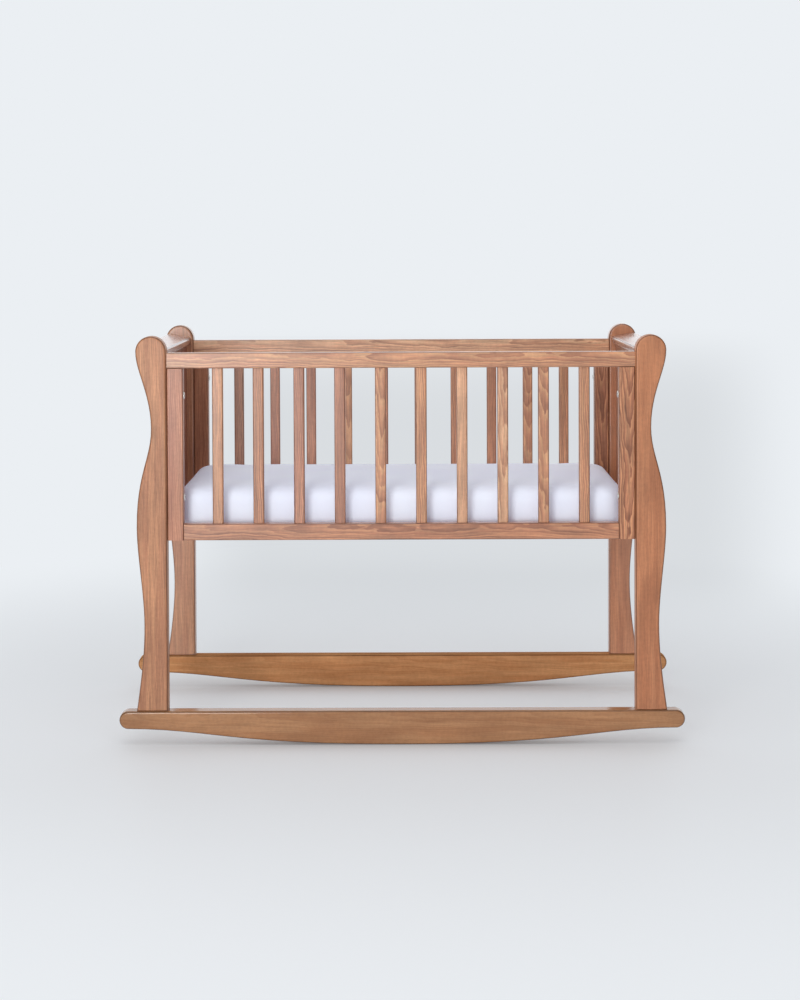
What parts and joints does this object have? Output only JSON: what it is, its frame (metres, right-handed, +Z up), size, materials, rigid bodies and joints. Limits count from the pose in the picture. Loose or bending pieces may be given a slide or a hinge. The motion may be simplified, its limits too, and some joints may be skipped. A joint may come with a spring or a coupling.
{
  "type": "baby cradle",
  "caption": "Rocking wooden baby cradle: shaped posts on two curved rockers, slatted side panels, solid board ends, slatted base and a foam mattress.",
  "frame": {"origin": "middle of the footprint, at the height of the floor that the rockers rest on", "axes": "+X along the cradle's length to its right end, +Y from the front to the rear, +Z up"},
  "size_m": [1.196, 0.485, 0.8198],
  "materials": {
    "post_wood": "satin",
    "rocker_wood": "satin",
    "rail_wood": "satin",
    "slat_wood": "satin",
    "board_wood": "satin",
    "base_wood": "matte",
    "mattress_cover": "matte",
    "bolt_steel": "satin"
  },
  "bodies": {
    "frame": {"front_left_post": "post_wood", "front_right_post": "post_wood", "rear_left_post": "post_wood", "rear_right_post": "post_wood", "front_rocker": "rocker_wood", "front_left_rocker_bolt": "bolt_steel", "front_right_rocker_bolt": "bolt_steel", "rear_rocker": "rocker_wood", "rear_left_rocker_bolt": "bolt_steel", "rear_right_rocker_bolt": "bolt_steel", "front_top_rail": "rail_wood", "front_bottom_rail": "rail_wood", "front_left_stile": "rail_wood", "front_left_lower_bolt": "bolt_steel", "front_left_upper_bolt": "bolt_steel", "front_right_stile": "rail_wood", "front_right_lower_bolt": "bolt_steel", "front_right_upper_bolt": "bolt_steel", "front_slat_01": "slat_wood", "front_slat_02": "slat_wood", "front_slat_03": "slat_wood", "front_slat_04": "slat_wood", "front_slat_05": "slat_wood", "front_slat_06": "slat_wood", "front_slat_07": "slat_wood", "front_slat_08": "slat_wood", "front_slat_09": "slat_wood", "front_slat_10": "slat_wood", "rear_top_rail": "rail_wood", "rear_bottom_rail": "rail_wood", "rear_left_stile": "rail_wood", "rear_left_lower_bolt": "bolt_steel", "rear_left_upper_bolt": "bolt_steel", "rear_right_stile": "rail_wood", "rear_right_lower_bolt": "bolt_steel", "rear_right_upper_bolt": "bolt_steel", "rear_slat_01": "slat_wood", "rear_slat_02": "slat_wood", "rear_slat_03": "slat_wood", "rear_slat_04": "slat_wood", "rear_slat_05": "slat_wood", "rear_slat_06": "slat_wood", "rear_slat_07": "slat_wood", "rear_slat_08": "slat_wood", "rear_slat_09": "slat_wood", "rear_slat_10": "slat_wood", "left_end_board": "board_wood", "left_cap_rail": "rail_wood", "right_end_board": "board_wood", "right_cap_rail": "rail_wood", "front_cleat": "base_wood", "rear_cleat": "base_wood", "base_slat_1": "base_wood", "base_slat_2": "base_wood", "base_slat_3": "base_wood", "base_slat_4": "base_wood", "base_slat_5": "base_wood", "base_slat_6": "base_wood", "base_slat_7": "base_wood"},
    "mattress": {"mattress": "mattress_cover"}
  },
  "joints": [
    {"name": "mattress_lift", "type": "slide", "parent": "frame", "child": "mattress", "axis": [0, 0, 1], "range_m": [0, 0.42]}
  ]
}
